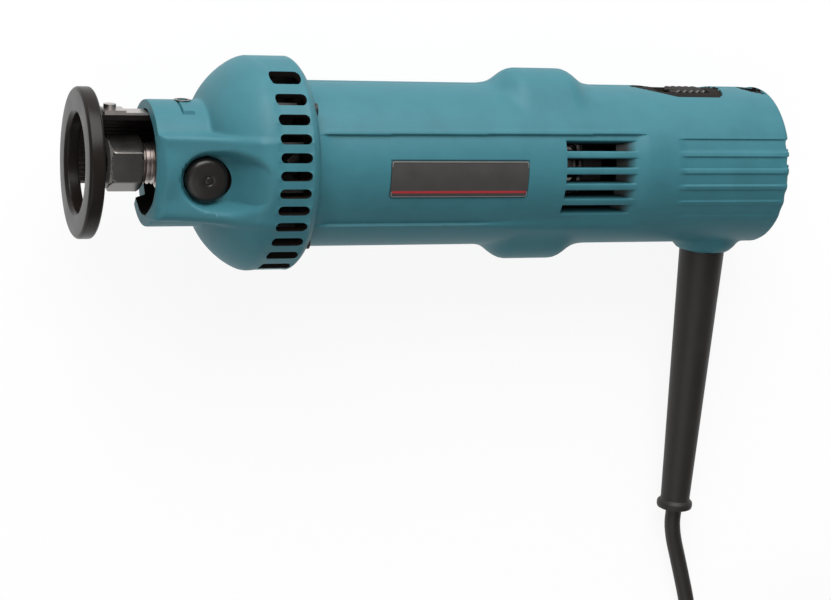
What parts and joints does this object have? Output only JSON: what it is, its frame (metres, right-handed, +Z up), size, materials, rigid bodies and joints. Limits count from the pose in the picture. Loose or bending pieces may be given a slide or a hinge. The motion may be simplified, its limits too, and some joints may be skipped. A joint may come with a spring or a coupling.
{
  "type": "drywall cut out tool",
  "caption": "Corded drywall cut out tool with a sliding base disc, collet spindle with push lock, vented collar, slim barrel with slide switch, and a guarded cord laid in a tied coil.",
  "frame": {"origin": "on the bench under the middle of the tool without its cord", "axes": "+Z up from the bench, +X from the base disc to the rear end, +Y to the switch side; the tool lies on its far side, nose tilted up a little, rolled onto the tip of its cord guard"},
  "size_m": [0.364, 0.3091, 0.0732],
  "materials": {
    "black_plastic": "satin black moulding",
    "teal_shell": "satin teal moulding",
    "dark_plate": "plain dark grey plate",
    "steel": "machined steel",
    "black_steel": "blackened steel",
    "fan_plastic": "glass filled nylon",
    "laminations": "laminated iron",
    "copper": null,
    "brass": "brass",
    "carbon": "carbon and resin",
    "rubber": "black rubber",
    "felt": "felt"
  },
  "bodies": {
    "root": {"switch_body": "black_plastic", "air_baffle": "black_plastic", "near_shell": "teal_shell", "far_shell": "teal_shell", "front_housing": "teal_shell", "near_plate": "dark_plate", "far_plate": "dark_plate", "lock_spring": "steel", "front_bearing_outer": "steel", "rear_bearing_outer": "steel", "bearing_retainer": "steel", "retainer_screws": "steel", "brush_spring_top": "steel", "brush_spring_bottom": "steel", "cord_clamp": "steel", "cord_clamp_screws": "steel", "shell_screws": "black_steel", "flange_screws": "black_steel", "stator_core": "laminations", "field_coils": "copper", "brush_holder_top": "brass", "brush_holder_bottom": "brass", "plug_blades": "brass", "capacitor": "carbon", "cord_guard": "rubber", "cord_core": "rubber", "cord_lead": "rubber", "cord_coil": "rubber", "cord_tail": "rubber", "plug_body": "rubber", "rear_bearing_sleeve": "rubber", "coil_tie": "rubber", "dust_seal": "felt"},
    "guide": {"guide_base": "black_plastic", "guide_strip": "steel", "guide_strip_screw": "black_steel"},
    "clamp_screw": {"guide_clamp_screw": "black_steel"},
    "rotor": {"spindle": "steel", "armature_core": "laminations", "armature_windings": "copper", "commutator": "copper", "fan": "fan_plastic", "front_bearing_inner": "steel", "rear_bearing_inner": "steel"},
    "collet": {"collet": "steel"},
    "nut": {"collet_nut": "black_steel"},
    "front_balls": {"front_bearing_balls": "steel"},
    "rear_balls": {"rear_bearing_balls": "steel"},
    "lock": {"lock_button": "black_plastic", "lock_pin": "steel"},
    "switch": {"switch_slider": "black_plastic", "switch_link": "black_plastic"},
    "upper_brush": {"brush_top": "carbon"},
    "lower_brush": {"brush_bottom": "carbon"}
  },
  "joints": [
    {"name": "guide_depth", "type": "slide", "parent": "root", "child": "guide", "axis": [0.999, 0, -0.0449], "range_m": [-0.008, 0.007]},
    {"name": "clamp_turn", "type": "hinge", "parent": "root", "child": "clamp_screw", "pos_m": [-0.09322, 0.01973, 0.04115], "axis": [0.0073, 0.9867, 0.1621], "range_deg": [0, 180]},
    {"name": "spindle_spin", "type": "hinge", "parent": "root", "child": "rotor", "pos_m": [-0.02893, 0, 0.03501], "axis": [0.999, 0, -0.0449], "continuous": true},
    {"name": "collet_release", "type": "slide", "parent": "rotor", "child": "collet", "axis": [0.999, 0, -0.0449], "range_m": [-0.0015, 0]},
    {"name": "nut_turn", "type": "hinge", "parent": "collet", "child": "nut", "pos_m": [-0.11285, 0, 0.03878], "axis": [0.999, 0, -0.0449], "range_deg": [-360, 0]},
    {"name": "front_balls_roll", "type": "hinge", "parent": "root", "child": "front_balls", "pos_m": [-0.07688, 0, 0.03716], "axis": [0.999, 0, -0.0449], "continuous": true},
    {"name": "rear_balls_roll", "type": "hinge", "parent": "root", "child": "rear_balls", "pos_m": [0.05199, 0, 0.03137], "axis": [0.999, 0, -0.0449], "continuous": true},
    {"name": "lock_press", "type": "slide", "parent": "root", "child": "lock", "axis": [-0.0443, 0.1623, -0.9857], "range_m": [0, 0.004], "stiffness_N_per_m": 700, "springref_m": -0.003, "deforming": ["lock_spring"]},
    {"name": "switch_slide", "type": "slide", "parent": "root", "child": "switch", "axis": [-0.999, 0, 0.0449], "range_m": [0, 0.006]},
    {"name": "upper_brush_lift", "type": "slide", "parent": "root", "child": "upper_brush", "axis": [0.0073, 0.9867, 0.1621], "range_m": [0, 0.002], "stiffness_N_per_m": 300, "springref_m": -0.008, "deforming": ["brush_spring_top"]},
    {"name": "lower_brush_lift", "type": "slide", "parent": "root", "child": "lower_brush", "axis": [-0.0073, -0.9867, -0.1621], "range_m": [0, 0.002], "stiffness_N_per_m": 300, "springref_m": -0.008, "deforming": ["brush_spring_bottom"]}
  ],
  "couplings": [
    {"joint": "nut_turn", "follows": "collet_release", "rad_per_m": 4188},
    {"joint": "front_balls_roll", "follows": "spindle_spin", "ratio": 0.384},
    {"joint": "rear_balls_roll", "follows": "spindle_spin", "ratio": 0.3647}
  ]
}
